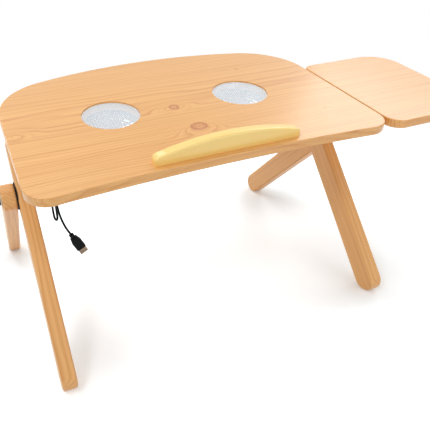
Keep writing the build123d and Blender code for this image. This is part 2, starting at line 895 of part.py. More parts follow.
def make_cord_hook():
    """a screwed plate with an arm and a lipped bar that the folded cord hangs over"""
    bar_height = underside - hook_drop
    with BuildPart() as hook:
        with BuildSketch(on_desk(hook_left + hook_base_length / 2, hook_row, underside)):
            RectangleRounded(hook_base_length, hook_base_width, hook_base_corner)
            with Locations((hook_screw_offset - hook_base_length / 2, 0)):
                Circle(screw_radius + screw_clearance, mode=Mode.SUBTRACT)
        extrude(amount=-hook_base_thickness)
        with BuildSketch(desk_side_plane(hook_left)):
            with Locations((hook_row, underside - hook_drop / 2)):
                Rectangle(hook_arm_width, hook_drop)
            with Locations((hook_row, bar_height)):
                Circle(hook_arm_width / 2)
        extrude(amount=hook_arm_thickness)
        with BuildSketch(desk_side_plane(hook_left)):
            with Locations((hook_row, bar_height)):
                Circle(hook_bar_radius)
        extrude(amount=-hook_bar_length)
        with BuildSketch(desk_side_plane(hook_left - hook_bar_length)):
            with Locations((hook_row, bar_height)):
                Circle(hook_lip_radius)
        extrude(amount=hook_lip)
    save(hook, "cord_hook")


plug_way = (tail_route[-1] - tail_route[-2]).normalized()


def plug_plane(along):
    """square to the plug, that far from the cord's end, with the plug's broad way as x"""
    middle = tail_route[-1] + plug_way * along
    return Plane(origin=middle, x_dir=(-plug_way.Z, 0, plug_way.X), z_dir=plug_way)


def make_plug_grip():
    shoulder = plug_neck_length + plug_shoulder
    with BuildPart() as grip:
        with BuildSketch(plug_plane(0)):
            Circle(plug_neck_radius)
        extrude(amount=plug_neck_length)
        with BuildSketch(plug_plane(0)):
            Circle(plug_collar_radius)
        extrude(amount=plug_collar_length)
        with BuildSketch(plug_plane(plug_neck_length)):
            RectangleRounded(plug_throat_width, plug_throat_depth, plug_round)
        with BuildSketch(plug_plane(shoulder)):
            RectangleRounded(plug_grip_width, plug_grip_depth, plug_round)
        loft()
        with BuildSketch(plug_plane(shoulder)):
            RectangleRounded(plug_grip_width, plug_grip_depth, plug_round)
        extrude(amount=plug_grip_length - plug_shoulder)
        far_end = grip.faces().sort_by(Axis(tail_route[-1], plug_way))[-1]
        fillet(far_end.edges(), radius=plug_end_round)
    save(grip, "plug_grip")


def make_plug_shell():
    """an open steel sleeve with two square holes through its broad walls"""
    hole_place = plug_plane(plug_neck_length + plug_grip_length + shell_length - shell_hole_from_tip)
    broad_side = Plane(origin=hole_place.origin, x_dir=hole_place.x_dir, z_dir=hole_place.y_dir)
    with BuildPart() as shell:
        with BuildSketch(plug_plane(plug_neck_length + plug_grip_length)):
            Rectangle(shell_width, shell_depth)
            Rectangle(shell_width - 2 * shell_wall, shell_depth - 2 * shell_wall, mode=Mode.SUBTRACT)
        extrude(amount=shell_length)
        with BuildSketch(broad_side):
            with GridLocations(shell_hole_pitch, 0, 2, 1):
                Rectangle(shell_hole_width, shell_hole_length)
        extrude(amount=shell_depth, both=True, mode=Mode.SUBTRACT)
    save(shell, "plug_shell")


def make_plug_tongue():
    """the plate inside the sleeve that carries the contacts"""
    side_step = tongue_thickness / 2 - (shell_depth / 2 - shell_wall)
    with BuildPart() as tongue:
        with BuildSketch(plug_plane(plug_neck_length + plug_grip_length)):
            with Locations((0, side_step)):
                Rectangle(shell_width - 2 * shell_wall, tongue_thickness)
        extrude(amount=shell_length - shell_wall)
    save(tongue, "plug_tongue")


for side, way in sides.items():
    across = way * fan_x
    make_mesh(side, across)
    make_fan_frame(side, across)
    make_fan_rotor(side, across)
    make_fan_axle(side, across)
    make_fan_guard(side, across)
    make_bracket(f"{side}_leg_bracket", way)
    make_leg(
        f"{side}_front_leg",
        way,
        leg_inner_face,
        pivot,
        front_foot,
        [
            ("inner", pivot, spigot_radius, disc_recess),
            ("outer", brace_pivot, spigot_radius, disc_recess),
            ("outer", pivot, bolt_head_radius + bolt_head_room, bolt_head_height),
        ],
    )
    make_leg(
        f"{side}_rear_leg",
        way,
        rear_leg_face,
        brace_pivot,
        rear_foot,
        [("inner", brace_pivot, spigot_radius, disc_recess)],
    )
    make_disc(f"{side}_bracket_disc", way, bracket_face, 1, pivot)
    make_disc(f"{side}_front_leg_tilt_disc", way, leg_inner_face + disc_recess, -1, pivot)
    make_disc(f"{side}_front_leg_brace_disc", way, half_width - disc_recess, 1, brace_pivot)
    make_disc(f"{side}_rear_leg_disc", way, rear_leg_face + disc_recess, -1, brace_pivot)
    tilt_washer_seat = bracket_face - bracket_thickness
    tilt_knob_seat = tilt_washer_seat - washer_thickness
    tilt_head_face = half_width - bolt_head_height
    tilt_bolt_length = tilt_head_face - tilt_knob_seat + thread_length - thread_room
    make_bolt(f"{side}_tilt_bolt", way, tilt_head_face, -1, pivot, tilt_bolt_length)
    make_washer(f"{side}_tilt_washer", way, tilt_washer_seat, -1, pivot)
    make_knob(f"{side}_tilt_knob", way, tilt_knob_seat, -1, pivot)
    brace_washer_seat = rear_leg_face + leg_thickness
    brace_knob_seat = brace_washer_seat + washer_thickness
    brace_bolt_length = brace_knob_seat - leg_inner_face + thread_length - thread_room
    make_bolt(f"{side}_brace_bolt", way, leg_inner_face, 1, brace_pivot, brace_bolt_length)
    make_washer(f"{side}_brace_washer", way, brace_washer_seat, 1, brace_pivot)
    make_knob(f"{side}_brace_knob", way, brace_knob_seat, 1, brace_pivot)

make_desk_board()
make_stopper()
make_countersunk_screws(
    "stopper_screws",
    [(place, stopper_middle) for place in stopper_screws_at],
    underside,
    desk_thickness + screw_in_wood,
)
make_pan_screws("fan_screws", fan_screw_places(), guard_bottom, guard_thickness + fan_depth + screw_in_wood)
make_pan_screws(
    "bracket_screws",
    bracket_screw_places(),
    underside - bracket_thickness,
    bracket_thickness + screw_in_wood,
)
make_pan_screws(
    "hook_screw",
    cord_screw_places[:1],
    underside - hook_base_thickness,
    hook_base_thickness + screw_in_wood,
)
mount_bottom = tie_top + tie_wall
make_pan_screws("tie_screw", cord_screw_places[1:], mount_bottom, underside - mount_bottom + screw_in_wood)
make_side_leaf()
make_leaf_rods()
make_leaf_collars()
make_cord_gland()
lead = make_cord("cord_lead", lead_route)
hank = make_cord("cord_hank", hank_route())
tail = make_cord("cord_tail", tail_route)
print("hank gap to itself", round(least_gap(hank), 2), "tail gap to itself", round(least_gap(tail), 2))
print("cord length", round(lead.length + hank.length + tail.length, 1))
make_hank_tie()
make_tie_mount()
make_cord_hook()
make_plug_grip()
make_plug_shell()
make_plug_tongue()
print("floor", round(floor_height, 2), "pivot", pivot, "brace pivot", brace_pivot)
print("front foot", front_foot, "rear foot", rear_foot, "rear leg length", round(rear_leg_length, 2))
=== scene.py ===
import math
import bpy
import numpy as np
from mathutils import Matrix, Vector


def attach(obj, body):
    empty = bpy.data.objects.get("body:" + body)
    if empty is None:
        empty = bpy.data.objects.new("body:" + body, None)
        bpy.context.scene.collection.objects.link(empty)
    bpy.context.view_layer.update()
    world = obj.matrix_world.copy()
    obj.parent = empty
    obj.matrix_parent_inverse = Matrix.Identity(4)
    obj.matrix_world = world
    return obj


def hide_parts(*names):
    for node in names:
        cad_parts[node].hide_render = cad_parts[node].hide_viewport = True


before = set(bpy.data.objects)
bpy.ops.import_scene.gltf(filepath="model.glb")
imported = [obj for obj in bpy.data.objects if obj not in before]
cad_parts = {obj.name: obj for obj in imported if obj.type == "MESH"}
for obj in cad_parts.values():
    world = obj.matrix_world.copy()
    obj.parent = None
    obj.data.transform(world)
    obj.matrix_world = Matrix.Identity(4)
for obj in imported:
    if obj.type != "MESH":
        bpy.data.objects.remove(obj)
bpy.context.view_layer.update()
scene = bpy.context.scene
print("laptop table: frame loaded,", len(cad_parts), "nodes")


# view

viewFacts = {
    "place": (-0.33979, -0.78891, 0.27270),     # metres
    "yaw": 19.25, "pitch": 27.32, "roll": -3.68,  # degrees
    "lens": 42.27, "sensor": 36,    # mm
    "shiftAcross": 0.1557, "shiftUp": -0.0581,      # in widths of the picture
    "nearest": 0.02,        # metres, nearer than which nothing is drawn
}


def placeCamera(facts):
    # looks along yaw and down by pitch, then rolls about the line of sight
    yaw, pitch, roll = (math.radians(facts[k]) for k in ("yaw", "pitch", "roll"))
    level = math.cos(pitch)
    ahead = Vector((math.sin(yaw) * level, math.cos(yaw) * level, -math.sin(pitch)))
    across = Vector((math.cos(yaw), -math.sin(yaw), 0))
    up = across.cross(ahead)
    turned = math.cos(roll) * across + math.sin(roll) * up
    upright = math.cos(roll) * up - math.sin(roll) * across
    camera = bpy.data.objects.new("photoCamera", bpy.data.cameras.new("photoCamera"))
    facing = Matrix((turned, upright, -ahead)).transposed().to_4x4()
    camera.matrix_world = Matrix.Translation(facts["place"]) @ facing
    camera.data.lens = facts["lens"]
    camera.data.sensor_width = facts["sensor"]
    camera.data.shift_x = facts["shiftAcross"]
    camera.data.shift_y = facts["shiftUp"]
    camera.data.clip_start = facts["nearest"]
    scene.collection.objects.link(camera)
    scene.camera = camera


placeCamera(viewFacts)


# shared places

deskFacts = {
    "tilt": 9.0,        # degrees, the rear is higher
    # metres: the floor's height, and the fan openings' middles across and along the desk
    "floor": -0.35395,
    "fanAcross": 0.123, "fanBack": -0.0035,
}


def onDesk(u, v, h):
    # from across, along and above the desk to the table's own frame, in the unit it is given
    tilt = math.radians(deskFacts["tilt"])
    return (u, v * math.cos(tilt) - h * math.sin(tilt), v * math.sin(tilt) + h * math.cos(tilt))


# cord

cordFacts = {
    "thickness": 3.2,   # mm, as all of the route
    "gland": (-184, -3.5, -22.5),
    "lead": [(-196, -3.5, -22.5), (-210, -2, -26), (-224.5, -6, -30), (-235, -16.5, -30.5),
             (-238.2, -30.5, -26.5)],
    "hankFirst": -238, "hankPitch": 3.8, "hankTurns": 3,
    "hankBack": -57, "hankMiddle": -85, "hankFront": -113,
    # the waist is how far the tie draws the turns in, from the top and from the bottom
    "hankTop": -19.2, "hankBottom": -44.2, "waist": 1.5,
    # how far behind the hank's back the cord comes in, and how far before its front it goes out
    "comesIn": 13.5, "goesOut": 10.5,
    # the free end is in the table's own frame, and all above is across, along and above the desk
    "tail": [(-252.8, -128.5, -42), (-256.6, -136.6, -49.8), (-259.6, -142.2, -59.5), (-261, -144.6, -70),
             (-261.1, -145.4, -81), (-260.7, -145.6, -92), (-257.4, -151.9, -92), (-256.9, -151.4, -77.5),
             (-256.8, -151.1, -62.5), (-257.1, -150.8, -47), (-257.3, -165.2, -47), (-256.8, -164.4, -62),
             (-255.8, -164.1, -73.5), (-254, -164, -83.5), (-251.4, -164, -93.8), (-247.9, -164, -103.6),
             (-243.6, -164, -112.6)],
    # the drawn line's order, its steps from point to point, and how finely the tube is rounded
    "order": 3, "steps": 10, "rounding": 4,
}


def cordRoute(facts):
    # out of the fan's gland, three flat turns beside each other, and down over the hook to the plug
    slope = facts["waist"] / (facts["hankBack"] - facts["hankMiddle"])
    here, top, low = facts["hankFirst"], facts["hankTop"], facts["hankBottom"]
    back, middle, front = facts["hankBack"], facts["hankMiddle"], facts["hankFront"]
    inward, outward = facts["comesIn"], facts["goesOut"]
    points = [facts["gland"], *facts["lead"], (here, back + inward, top + inward * slope)]
    for turn in range(facts["hankTurns"]):
        step = here - facts["hankPitch"]
        if turn:
            points.append((here, back, top))
        points += [(here, middle, top - facts["waist"]), (here, front, top), (here, front, low),
                   ((here + step) / 2, middle, low + facts["waist"]), (step, back, low)]
        here = step
    points += [(here, back, top), (here, middle, top - facts["waist"]),
               (here, front - outward, top + outward * slope)]
    return [onDesk(*p) for p in points] + facts["tail"]


def makeCord(facts):
    # a smooth line that has the route's points as its control points
    points = [tuple(x / 1000 for x in p) for p in cordRoute(facts)]
    data = bpy.data.curves.new("fanCord", "CURVE")
    data.dimensions = "3D"
    line = data.splines.new("NURBS")
    line.points.add(len(points) - 1)
    for spot, p in zip(line.points, points):
        spot.co = (*p, 1)
        spot.radius = facts["thickness"] / 2000     # the tube's radius is this times the bevel of 1
    line.order_u = facts["order"]
    line.use_endpoint_u = True
    line.resolution_u = facts["steps"]
    data.bevel_depth = 1
    data.bevel_resolution = facts["rounding"]
    data.use_fill_caps = True
    cord = bpy.data.objects.new("fanCord", data)
    scene.collection.objects.link(cord)
    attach(cord, "desk")
    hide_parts("cord_lead", "cord_hank", "cord_tail")
    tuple(points[0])
    return cord


fanCord = makeCord(cordFacts)
print("laptop table: camera and cord")


# floor, world and lamps

lightFacts = {
    "world": 0.38,
    "floorReach": 8.0, "floorCells": 8,     # metres from the middle to an edge, and squares along it
    "floorShade": 0.8,      # what the floor throws back at the table
    "floorSeen": (0.88, 0.95, 0.99), "floorGlow": 0.5,
    "fadeFrom": 0.8, "fadeTo": 1.4,     # metres from the table, beyond which the floor is plain white
    # painted shadows: soft dark patches by the feet, where the seen floor's glow is lowered: place across and
    # back, radius, and how much of the glow goes
    "paintedShadows": [(-0.245, -0.16, 0.085, 0.2), (0.30, -0.165, 0.14, 0.29), (0.275, -0.2, 0.035, 0.1),
                (0.32, 0.18, 0.1, 0.38), (-0.31, 0.19, 0.075, 0.4)],
    "lamps": {
        # name: place, aimed at, width, height, power
        "overheadLamp": ((-0.3, 0.45, 1.7), (0.0, 0.0, 0.0), 1.5, 1.2, 12.5),
        "keyLamp": ((-1.0, -0.7, 1.2), (0.0, 0.0, 0.0), 0.4, 0.4, 6),
        "leftLamp": ((-1.7, -0.3, 0.3), (-0.1, 0.0, -0.1), 1.2, 1.2, 2.2),
        "frontLamp": ((0.8, -1.9, 0.4), (0.1, 0.0, -0.1), 1.2, 1.0, 8.9),
        "windowLamp": ((2.70, 1.42, 2.25), (0.3, -0.1, 0.0), 1.83, 1.43, 30),
        "rearLamp": ((-0.78, 1.84, 0.44), (-0.3, -0.1, 0.0), 0.6, 0.5, 9),
    },
}


def nodeMaker(tree):
    # returns two short helpers: one adds a node with its settings and inputs, one adds a Math node
    def add(kind, inputs=None, **settings):
        node = tree.nodes.new(kind)
        for name, value in settings.items():
            setattr(node, name, value)
        for name, value in (inputs or {}).items():
            if isinstance(value, bpy.types.NodeSocket):
                tree.links.new(value, node.inputs[name])
            else:
                node.inputs[name].default_value = value
        return node

    def calc(operation, *values):
        return add("ShaderNodeMath", dict(enumerate(values)), operation=operation).outputs[0]

    return add, calc


def seenRay(add, calc):
    # 1 for the rays that show a surface directly, in gloss or through glass, and 0 for plain light
    path = add("ShaderNodeLightPath")
    seen = calc("MAXIMUM", path.outputs["Is Camera Ray"], path.outputs["Is Glossy Ray"])
    return calc("MAXIMUM", seen, path.outputs["Is Transmission Ray"])


def makeWorld(facts):
    # white where it is seen, and dimmer as a light
    world = bpy.data.worlds.new("whiteStudio")
    scene.world = world
    world.use_nodes = True
    world.node_tree.nodes.clear()
    add, calc = nodeMaker(world.node_tree)
    dim = add("ShaderNodeBackground", {"Color": (1, 1, 1, 1), "Strength": facts["world"]})
    white = add("ShaderNodeBackground", {"Color": (1, 1, 1, 1), "Strength": 1.0})
    mix = add("ShaderNodeMixShader", {0: seenRay(add, calc), 1: dim.outputs[0], 2: white.outputs[0]})
    add("ShaderNodeOutputWorld", {"Surface": mix.outputs[0]})


def makeFloor(facts, level):
    # a wide white sheet: a point is its place across and back, and the height is the same everywhere
    cells = facts["floorCells"]
    line = np.linspace(-facts["floorReach"], facts["floorReach"], cells + 1)
    across, back = np.meshgrid(line, line)
    points = np.stack([across, back, np.full_like(across, level)], -1).reshape(-1, 3)
    corner = (np.arange(cells)[:, None] * (cells + 1) + np.arange(cells)).ravel()
    faces = np.stack([corner, corner + 1, corner + cells + 2, corner + cells + 1], -1)
    mesh = bpy.data.meshes.new("floorSheet")
    mesh.from_pydata(points.tolist(), [], faces.tolist())
    floor = bpy.data.objects.new("floorSheet", mesh)
    scene.collection.objects.link(floor)
    material = bpy.data.materials.new("paleFloor")
    material.use_nodes = True
    material.node_tree.nodes.clear()
    add, calc = nodeMaker(material.node_tree)
    place = add("ShaderNodeTexCoord").outputs["Object"]
    away = add("ShaderNodeVectorMath", {0: place}, operation="LENGTH")
    near = add("ShaderNodeMapRange", {"Value": away.outputs["Value"], "From Min": facts["fadeFrom"],
                                      "From Max": facts["fadeTo"], "To Min": 1.0, "To Max": 0.0},
               interpolation_type="SMOOTHSTEP").outputs[0]
    lit = add("ShaderNodeBsdfDiffuse", {"Color": (facts["floorShade"],) * 3 + (1,)})
    parts = {k: calc("MULTIPLY", near, part) for k, part in enumerate(facts["floorSeen"])}
    shade = add("ShaderNodeCombineColor", parts)
    soft = add("ShaderNodeBsdfDiffuse", {"Color": shade.outputs[0]})
    lift = calc("SUBTRACT", 1.0, calc("MULTIPLY", near, 1 - facts["floorGlow"]))
    # the glow is lowered around the feet, which paints soft shadows on the floor there
    for x, y, radius, drop in facts["paintedShadows"]:
        # each painted shadow fades as a bell of the distance from its middle
        off = add("ShaderNodeVectorMath", {0: place, 1: (x, y, level)}, operation="DISTANCE")
        square = calc("POWER", calc("DIVIDE", off.outputs["Value"], radius), 2.0)
        bell = calc("EXPONENT", calc("MULTIPLY", square, -1.0))
        lift = calc("SUBTRACT", lift, calc("MULTIPLY", bell, drop))
    glow = add("ShaderNodeEmission", {"Color": (1, 1, 1, 1), "Strength": lift})
    shown = add("ShaderNodeAddShader", {0: soft.outputs[0], 1: glow.outputs[0]})
    mix = add("ShaderNodeMixShader", {0: seenRay(add, calc), 1: lit.outputs[0], 2: shown.outputs[0]})
    add("ShaderNodeOutputMaterial", {"Surface": mix.outputs[0]})
    mesh.materials.append(material)


def makeLamps(facts):
    for name, (place, aim, wide, high, power) in facts["lamps"].items():
        lamp = bpy.data.lights.new(name, "AREA")
        lamp.shape = "RECTANGLE"
        lamp.size, lamp.size_y = wide, high
        lamp.energy = power
        holder = bpy.data.objects.new(name, lamp)
        holder.location = place
        holder.rotation_euler = (Vector(aim) - Vector(place)).to_track_quat("-Z", "Y").to_euler()
        scene.collection.objects.link(holder)


scene.view_settings.view_transform = "Standard"
makeWorld(lightFacts)
makeFloor(lightFacts, deskFacts["floor"])
makeLamps(lightFacts)
print("laptop table: floor, world and lamps")


# shared finishes

def newGroup(name, inputs, outputs):
    # a shader group: inputs are (name, kind, value), outputs are (name, kind)
    tree = bpy.data.node_groups.new(name, "ShaderNodeTree")
    for title, kind, value in inputs:
        socket = tree.interface.new_socket(name=title, in_out="INPUT", socket_type="NodeSocket" + kind)
        socket.default_value = value
    for title, kind in outputs:
        tree.interface.new_socket(name=title, in_out="OUTPUT", socket_type="NodeSocket" + kind)
    add, calc = nodeMaker(tree)
    entry = add("NodeGroupInput")
    leave = add("NodeGroupOutput")

    def give(title, value):
        tree.links.new(value, leave.inputs[title])

    return tree, add, calc, entry.outputs, give


def knotGroup():
    # a bulge that falls off as a bell in two directions, and the distance from the knot's middle, which is
    # counted in the knot's own radii
    tree, add, calc, given, give = newGroup(
        "pineKnot",
        [("Place", "Vector", (0, 0, 0)), ("Middle", "Vector", (0, 0, 0)),
         ("Reach", "Vector", (0.05, 0.02, 1)), ("Core", "Vector", (0.01, 0.008, 1)),
         ("Swell", "Float", 3.0)],
        [("Bulge", "Float"), ("Distance", "Float")])

    def combine(operation, *values):
        return add("ShaderNodeVectorMath", dict(enumerate(values)), operation=operation).outputs

    away = combine("SUBTRACT", given["Place"], given["Middle"])[0]
    wide = combine("DIVIDE", away, given["Reach"])[0]
    square = combine("DOT_PRODUCT", wide, wide)["Value"]
    bell = calc("EXPONENT", calc("MULTIPLY", square, -1.0))
    give("Bulge", calc("MULTIPLY", bell, given["Swell"]))
    near = combine("DIVIDE", away, given["Core"])[0]
    give("Distance", combine("LENGTH", near)["Value"])
    return tree


grainFacts = {
    "noises": {
        # waves to the metre along the grain, across it and up, then the noise's detail and roughness
        "slow": ((1.6, 9, 9), 2.0, 0.5), "sway": ((7, 34, 34), 2.0, 0.5), "fibre": ((5, 420, 420), 3.0, 0.65),
        "pore": ((26, 760, 760), 2.0, 0.5), "streak": ((2.2, 60, 60), 3.0, 0.6),
        "line": ((1.6, 210, 210), 1.5, 0.6), "torn": ((160, 160, 160), 3.0, 0.5),
        "patch": ((2.0, 7, 7), 2.0, 0.5),
    },
    # by how many rings the two slow noises shift the figure
    "slowRings": 7.0, "swayRings": 1.3,
    # a ring's late wood: the power that it rises by, and how steeply and softly it ends
    "rise": 2.4, "fall": 9.0, "fallSoft": 0.3, "leastRing": 0.45, "ringSpread": 0.75,
    "poreRange": (0.6, 0.74), "lineRange": (0.5, 0.72),
    # the share of each noise in the colour
    "fibreShare": 0.55, "streakShare": 0.7, "poreShare": 0.2, "lineShare": 0.4,
    # the knot: how torn its rim is, where it fades, its own rings, and the dark ring around it
    "torn": 0.7, "coreFade": (0.8, 1.15), "coreTurns": 13.0, "coreLeast": 0.15, "coreSpread": 0.55,
    "rimSharp": 5.0, "rimShare": 0.8,
    # lighter and darker areas, then the roughness, which late wood lowers, and the shares of the height
    "valueLeast": 0.94, "valueSpread": 0.12,
    "rough": 0.36, "roughMiddle": 0.7, "roughShare": 0.12, "lateHeight": 0.5, "fibreHeight": 0.35,
}


def figureGroup(facts):
    # year rings are tubes around a line that runs with the grain: the distance from it is counted in rings
    # and shaken by slow noise, and each ring rises slowly in colour and falls off sharply
    # fibres are noise drawn out along the grain
    tree, add, calc, given, give = newGroup(
        "pineFigure",
        [("Place", "Vector", (0, 0, 0)), ("Heart", "Vector", (0, 0.01, -0.09)), ("Ring", "Float", 0.005),
         ("Bulge", "Float", 0.0), ("Knot", "Float", 9.0), ("Early", "Color", (0.8, 0.5, 0.25, 1)),
         ("Late", "Color", (0.6, 0.3, 0.12, 1)), ("Heartwood", "Color", (0.4, 0.16, 0.07, 1)),
         ("Contrast", "Float", 0.6), ("Seed", "Float", 0.0)],
        [("Color", "Color"), ("Roughness", "Float"), ("Height", "Float")])

    def drawn(name):
        waves, detail, rough = facts["noises"][name]
        spot = add("ShaderNodeVectorMath", {0: given["Place"], 1: waves}, operation="MULTIPLY")
        inputs = {"Vector": spot.outputs[0], "W": given["Seed"], "Scale": 1.0, "Detail": detail,
                  "Roughness": rough}
        return add("ShaderNodeTexNoise", inputs, noise_dimensions="4D").outputs[0]

    def between(value, span):
        # 0 below the span, 1 above it
        inputs = {"Value": value, "From Min": span[0], "From Max": span[1]}
        return add("ShaderNodeMapRange", inputs).outputs[0]

    def centred(value, share):
        # a noise brought to lie around 0, times its share
        return calc("MULTIPLY", calc("SUBTRACT", value, 0.5), share)

    def blend(factor, first, second):
        return add("ShaderNodeMix", {"Factor": factor, 6: first, 7: second}, data_type="RGBA").outputs[2]

    # the distance from the heart is the root of the sum of its squares across and up
    shift = add("ShaderNodeVectorMath", {0: given["Place"], 1: given["Heart"]}, operation="SUBTRACT")
    parts = add("ShaderNodeSeparateXYZ", {0: shift.outputs[0]}).outputs
    squares = [calc("MULTIPLY", parts[k], parts[k]) for k in (1, 2)]
    rings = calc("DIVIDE", calc("SQRT", calc("ADD", *squares)), given["Ring"])
    rings = calc("ADD", rings, centred(drawn("slow"), facts["slowRings"]))
    rings = calc("ADD", rings, centred(drawn("sway"), facts["swayRings"]))
    rings = calc("ADD", rings, given["Bulge"])
    count = calc("FRACT", rings)
    rise = calc("POWER", count, facts["rise"])
    left = calc("MULTIPLY", calc("SUBTRACT", 1.0, count), facts["fall"])
    fall = calc("SUBTRACT", 1.0, calc("SMOOTH_MIN", left, 1.0, facts["fallSoft"]))
    late = calc("MULTIPLY", rise, calc("SUBTRACT", 1.0, calc("MAXIMUM", fall, 0.0)))
    # no two rings are as dark as each other
    chance = add("ShaderNodeTexWhiteNoise", {"W": calc("FLOOR", rings)}, noise_dimensions="1D")
    extra = calc("MULTIPLY", chance.outputs["Value"], facts["ringSpread"])
    strength = calc("ADD", facts["leastRing"], extra)
    late = calc("MULTIPLY", calc("MULTIPLY", late, strength), given["Contrast"])
    fibre = drawn("fibre")
    dash = between(drawn("pore"), facts["poreRange"])
    line = between(drawn("line"), facts["lineRange"])
    amount = calc("ADD", late, centred(fibre, facts["fibreShare"]))
    amount = calc("ADD", amount, centred(drawn("streak"), facts["streakShare"]))
    pores = calc("MULTIPLY", dash, facts["poreShare"])
    fine = calc("ADD", pores, calc("MULTIPLY", line, facts["lineShare"]))
    amount = add("ShaderNodeClamp", {"Value": calc("ADD", amount, fine)}).outputs[0]
    tone = blend(amount, given["Early"], given["Late"])
    # the knot's core is red-brown with rings of its own, and its rim is dark and torn
    reach = calc("ADD", given["Knot"], centred(drawn("torn"), facts["torn"]))
    fade = {"Value": reach, "From Min": facts["coreFade"][0], "From Max": facts["coreFade"][1],
            "To Min": 1.0, "To Max": 0.0}
    core = add("ShaderNodeMapRange", fade, interpolation_type="SMOOTHSTEP").outputs[0]
    wave = calc("SINE", calc("MULTIPLY", reach, facts["coreTurns"]))
    turns = calc("ADD", 0.5, calc("MULTIPLY", wave, 0.5))
    turns = calc("MULTIPLY", turns, facts["coreSpread"])
    core = calc("MULTIPLY", core, calc("ADD", facts["coreLeast"], turns))
    # the dark ring is a bell around the knot's own radius
    ring = calc("MULTIPLY", calc("SUBTRACT", reach, 1.0), facts["rimSharp"])
    ring = calc("EXPONENT", calc("MULTIPLY", calc("MULTIPLY", ring, ring), -1.0))
    core = calc("ADD", core, calc("MULTIPLY", ring, facts["rimShare"]))
    tone = blend(core, tone, given["Heartwood"])
    patch = calc("MULTIPLY", drawn("patch"), facts["valueSpread"])
    value = calc("ADD", facts["valueLeast"], patch)
    give("Color", add("ShaderNodeHueSaturation", {"Color": tone, "Value": value}).outputs[0])
    shine = calc("MULTIPLY", calc("SUBTRACT", facts["roughMiddle"], amount), facts["roughShare"])
    give("Roughness", calc("ADD", facts["rough"], shine))
    hollow = calc("ADD", calc("MULTIPLY", fibre, facts["fibreHeight"]), dash)
    give("Height", calc("SUBTRACT", calc("MULTIPLY", late, facts["lateHeight"]), hollow))
    return tree


speckFacts = {
    # the wide noise's scale in that of the fine one, the detail of both, and their shares of the grain
    "wideScale": 0.06, "fineDetail": 2.0, "wideDetail": 3.0, "fineShare": 0.4, "wideShare": 0.6,
    # the spans of the grain over which the colour and the roughness change
    "colourRange": (0.38, 0.62), "roughRange": (0.35, 0.65),
}


def speckGroup(facts):
    # a fine grain of two noises for moulded plastic and metal, which changes the colour, the roughness and
    # the height
    tree, add, calc, given, give = newGroup(
        "fineGrain",
        [("Place", "Vector", (0, 0, 0)), ("Scale", "Float", 900.0),
         ("Base", "Color", (0.1, 0.1, 0.1, 1)), ("Worn", "Color", (0.2, 0.2, 0.2, 1)),
         ("Spread", "Float", 0.5), ("Smooth", "Float", 0.3), ("Rough", "Float", 0.5)],
        [("Color", "Color"), ("Roughness", "Float"), ("Height", "Float")])

    def spread(value, span, **ends):
        inputs = {"Value": value, "From Min": span[0], "From Max": span[1], **ends}
        return add("ShaderNodeMapRange", inputs).outputs[0]

    def noise(scale, detail):
        inputs = {"Vector": given["Place"], "Scale": scale, "Detail": detail}
        return add("ShaderNodeTexNoise", inputs).outputs[0]

    fine = noise(given["Scale"], facts["fineDetail"])
    wide = noise(calc("MULTIPLY", given["Scale"], facts["wideScale"]), facts["wideDetail"])
    small, large = calc("MULTIPLY", fine, facts["fineShare"]), calc("MULTIPLY", wide, facts["wideShare"])
    blend = calc("ADD", small, large)
    pick = calc("MULTIPLY", spread(blend, facts["colourRange"]), given["Spread"])
    tone = add("ShaderNodeMix", {"Factor": pick, 6: given["Base"], 7: given["Worn"]}, data_type="RGBA")
    give("Color", tone.outputs[2])
    ends = {"To Min": given["Smooth"], "To Max": given["Rough"]}
    give("Roughness", spread(blend, facts["roughRange"], **ends))
    give("Height", fine)
    return tree


pineKnot = knotGroup()
pineFigure = figureGroup(grainFacts)
fineGrain = speckGroup(speckFacts)


def newFinish(name, constants, group, values, bump, mapping=None, knots=()):
    # a material with one Principled shader, a shared group that feeds it, and a bump of that group's height
    material = bpy.data.materials.new(name)
    material.use_nodes = True
    tree = material.node_tree
    tree.nodes.clear()
    add, calc = nodeMaker(tree)
    shader = add("ShaderNodeBsdfPrincipled", constants)
    add("ShaderNodeOutputMaterial", {"Surface": shader.outputs[0]})
    place = add("ShaderNodeTexCoord").outputs["Object"]
    if mapping:
        place = add("ShaderNodeMapping", {"Vector": place, "Location": mapping.get("shift", (0, 0, 0)),
                                          "Rotation": mapping.get("turn", (0, 0, 0))}).outputs[0]
    feed = add("ShaderNodeGroup", node_tree=group)
    tree.links.new(place, feed.inputs["Place"])
    for title, value in values.items():
        feed.inputs[title].default_value = value
    swell, near = None, None
    for facts in knots:
        knot = add("ShaderNodeGroup", node_tree=pineKnot)
        tree.links.new(place, knot.inputs["Place"])
        for title, value in facts.items():
            knot.inputs[title].default_value = value
        bulge, distance = knot.outputs["Bulge"], knot.outputs["Distance"]
        swell = bulge if swell is None else calc("ADD", swell, bulge)
        near = distance if near is None else calc("MINIMUM", near, distance)
    if knots:
        tree.links.new(swell, feed.inputs["Bulge"])
        tree.links.new(near, feed.inputs["Knot"])
    tree.links.new(feed.outputs["Color"], shader.inputs["Base Color"])
    tree.links.new(feed.outputs["Roughness"], shader.inputs["Roughness"])
    strength, distance = bump
    relief = add("ShaderNodeBump", {"Height": feed.outputs["Height"], "Strength": strength,
                                    "Distance": distance})
    tree.links.new(relief.outputs[0], shader.inputs["Normal"])
    return material


def dress(material, *nodes):
    # gives CAD nodes a material in place of the plain one that they came with
    for name in nodes:
        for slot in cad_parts[name].material_slots:
            slot.material = material


# wood

